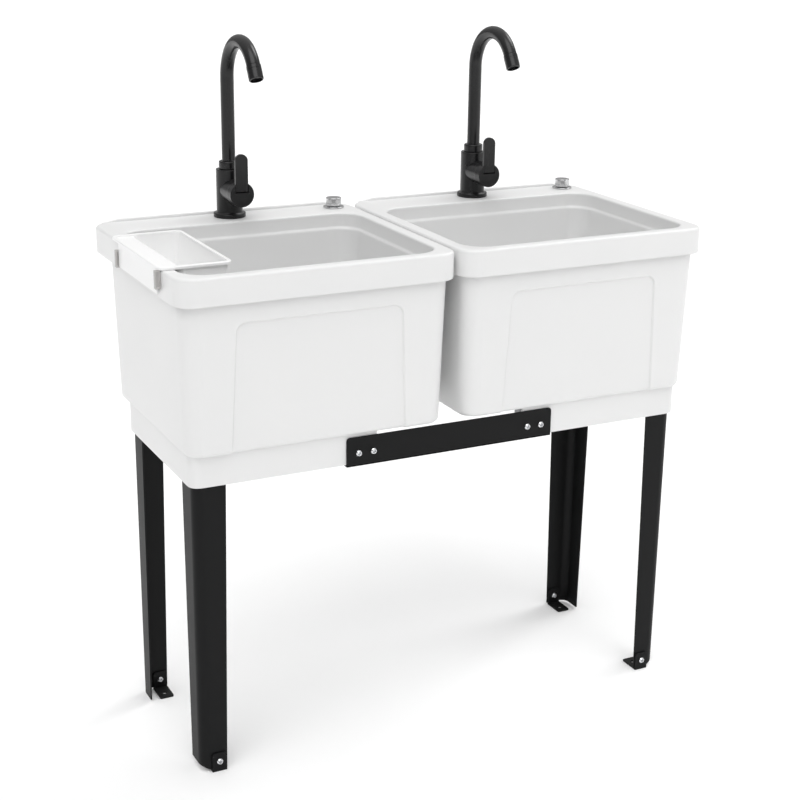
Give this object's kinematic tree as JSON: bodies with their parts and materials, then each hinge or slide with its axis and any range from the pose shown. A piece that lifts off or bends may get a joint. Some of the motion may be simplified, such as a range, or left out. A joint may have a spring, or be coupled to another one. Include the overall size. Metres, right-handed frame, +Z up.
{
  "type": "utility laundry sink",
  "caption": "Floor-standing laundry tubs side by side on angle-steel legs joined by rails, with high-arc lever faucets, remote-controlled wastes and a caddy hung on a rim.",
  "frame": {"origin": "on the floor, under the middle of the outline box", "axes": "+Z up, +X to the right as the user faces the bowls, -Y towards the user (front), +Y towards the faucets"},
  "size_m": [0.9844, 0.454, 1.1871],
  "materials": {
    "tub_plastic": "satin moulded white",
    "caddy_plastic": "satin moulded white",
    "clip_grey": "satin light grey",
    "leg_black": "black powder coat",
    "faucet_black": "matt black",
    "knob_chrome": "polished",
    "zinc_screw": "bright zinc plate",
    "stainless": "brushed",
    "under_sink_grey": "moulded grey"
  },
  "bodies": {
    "sink": {"back_left_foot_bolt": "zinc_screw", "back_left_foot_bracket": "leg_black", "back_left_leg": "leg_black", "back_rail": "leg_black", "back_rail_bolt_1": "zinc_screw", "back_rail_bolt_2": "zinc_screw", "back_rail_bolt_3": "zinc_screw", "back_rail_bolt_4": "zinc_screw", "back_right_foot_bolt": "zinc_screw", "back_right_foot_bracket": "leg_black", "back_right_leg": "leg_black", "front_left_foot_bolt": "zinc_screw", "front_left_foot_bracket": "leg_black", "front_left_leg": "leg_black", "front_rail": "leg_black", "front_rail_bolt_1": "zinc_screw", "front_rail_bolt_2": "zinc_screw", "front_rail_bolt_3": "zinc_screw", "front_rail_bolt_4": "zinc_screw", "front_right_foot_bolt": "zinc_screw", "front_right_foot_bracket": "leg_black", "front_right_leg": "leg_black", "left_base_band": "tub_plastic", "left_drain_body": "under_sink_grey", "left_drain_flange": "stainless", "left_drain_locknut": "under_sink_grey", "left_faucet_body": "faucet_black", "left_faucet_locknut": "under_sink_grey", "left_tub": "tub_plastic", "left_waste_knob_base": "knob_chrome", "left_waste_knob_nut": "under_sink_grey", "right_base_band": "tub_plastic", "right_drain_body": "under_sink_grey", "right_drain_flange": "stainless", "right_drain_locknut": "under_sink_grey", "right_faucet_body": "faucet_black", "right_faucet_locknut": "under_sink_grey", "right_tub": "tub_plastic", "right_waste_knob_base": "knob_chrome", "right_waste_knob_nut": "under_sink_grey"},
    "left_spout": {"left_spout_collar": "faucet_black", "left_gooseneck_spout": "faucet_black", "left_aerator": "faucet_black"},
    "left_temperature_control": {"left_temperature_cap": "faucet_black", "left_lever_pin": "stainless"},
    "left_lever_handle": {"left_lever": "faucet_black"},
    "left_waste_control": {"left_waste_knob": "knob_chrome"},
    "left_plug": {"left_drain_plug": "stainless"},
    "right_spout": {"right_spout_collar": "faucet_black", "right_gooseneck_spout": "faucet_black", "right_aerator": "faucet_black"},
    "right_temperature_control": {"right_temperature_cap": "faucet_black", "right_lever_pin": "stainless"},
    "right_lever_handle": {"right_lever": "faucet_black"},
    "right_waste_control": {"right_waste_knob": "knob_chrome"},
    "right_plug": {"right_drain_plug": "stainless"},
    "caddy_body": {"caddy": "caddy_plastic", "caddy_near_clip": "clip_grey", "caddy_far_clip": "clip_grey"}
  },
  "joints": [
    {"name": "left_spout_swivel", "type": "hinge", "parent": "sink", "child": "left_spout", "pos_m": [-0.2411, 0.1895, 0.9636], "axis": [0, 0, 1], "range_deg": [-90, 90]},
    {"name": "left_temperature_turn", "type": "hinge", "parent": "sink", "child": "left_temperature_control", "pos_m": [-0.2411, 0.1352, 0.913], "axis": [0, 1, 0], "range_deg": [-45, 45]},
    {"name": "left_lever_tilt", "type": "hinge", "parent": "left_temperature_control", "child": "left_lever_handle", "pos_m": [-0.2411, 0.1311, 0.922], "axis": [1, 0, 0], "range_deg": [0, 20]},
    {"name": "left_waste_knob_turn", "type": "hinge", "parent": "sink", "child": "left_waste_control", "pos_m": [-0.0391, 0.1895, 0.84], "axis": [0, 0, 1], "range_deg": [0, 90]},
    {"name": "left_plug_lift", "type": "slide", "parent": "sink", "child": "left_plug", "axis": [0, 0, 1], "range_m": [0, 0.01]},
    {"name": "right_spout_swivel", "type": "hinge", "parent": "sink", "child": "right_spout", "pos_m": [0.2504, 0.1895, 0.9636], "axis": [0, 0, 1], "range_deg": [-90, 90]},
    {"name": "right_temperature_turn", "type": "hinge", "parent": "sink", "child": "right_temperature_control", "pos_m": [0.2504, 0.1352, 0.913], "axis": [0, 1, 0], "range_deg": [-45, 45]},
    {"name": "right_lever_tilt", "type": "hinge", "parent": "right_temperature_control", "child": "right_lever_handle", "pos_m": [0.2504, 0.1311, 0.922], "axis": [1, 0, 0], "range_deg": [0, 20]},
    {"name": "right_waste_knob_turn", "type": "hinge", "parent": "sink", "child": "right_waste_control", "pos_m": [0.4524, 0.1895, 0.84], "axis": [0, 0, 1], "range_deg": [0, 90]},
    {"name": "right_plug_lift", "type": "slide", "parent": "sink", "child": "right_plug", "axis": [0, 0, 1], "range_m": [0, 0.01]},
    {"name": "caddy_slide", "type": "slide", "parent": "sink", "child": "caddy_body", "axis": [0, 1, 0], "range_m": [-0.027, 0.027]}
  ],
  "couplings": [
    {"joint": "left_waste_knob_turn", "follows": "left_plug_lift", "rad_per_m": 157},
    {"joint": "right_waste_knob_turn", "follows": "right_plug_lift", "rad_per_m": 157}
  ]
}
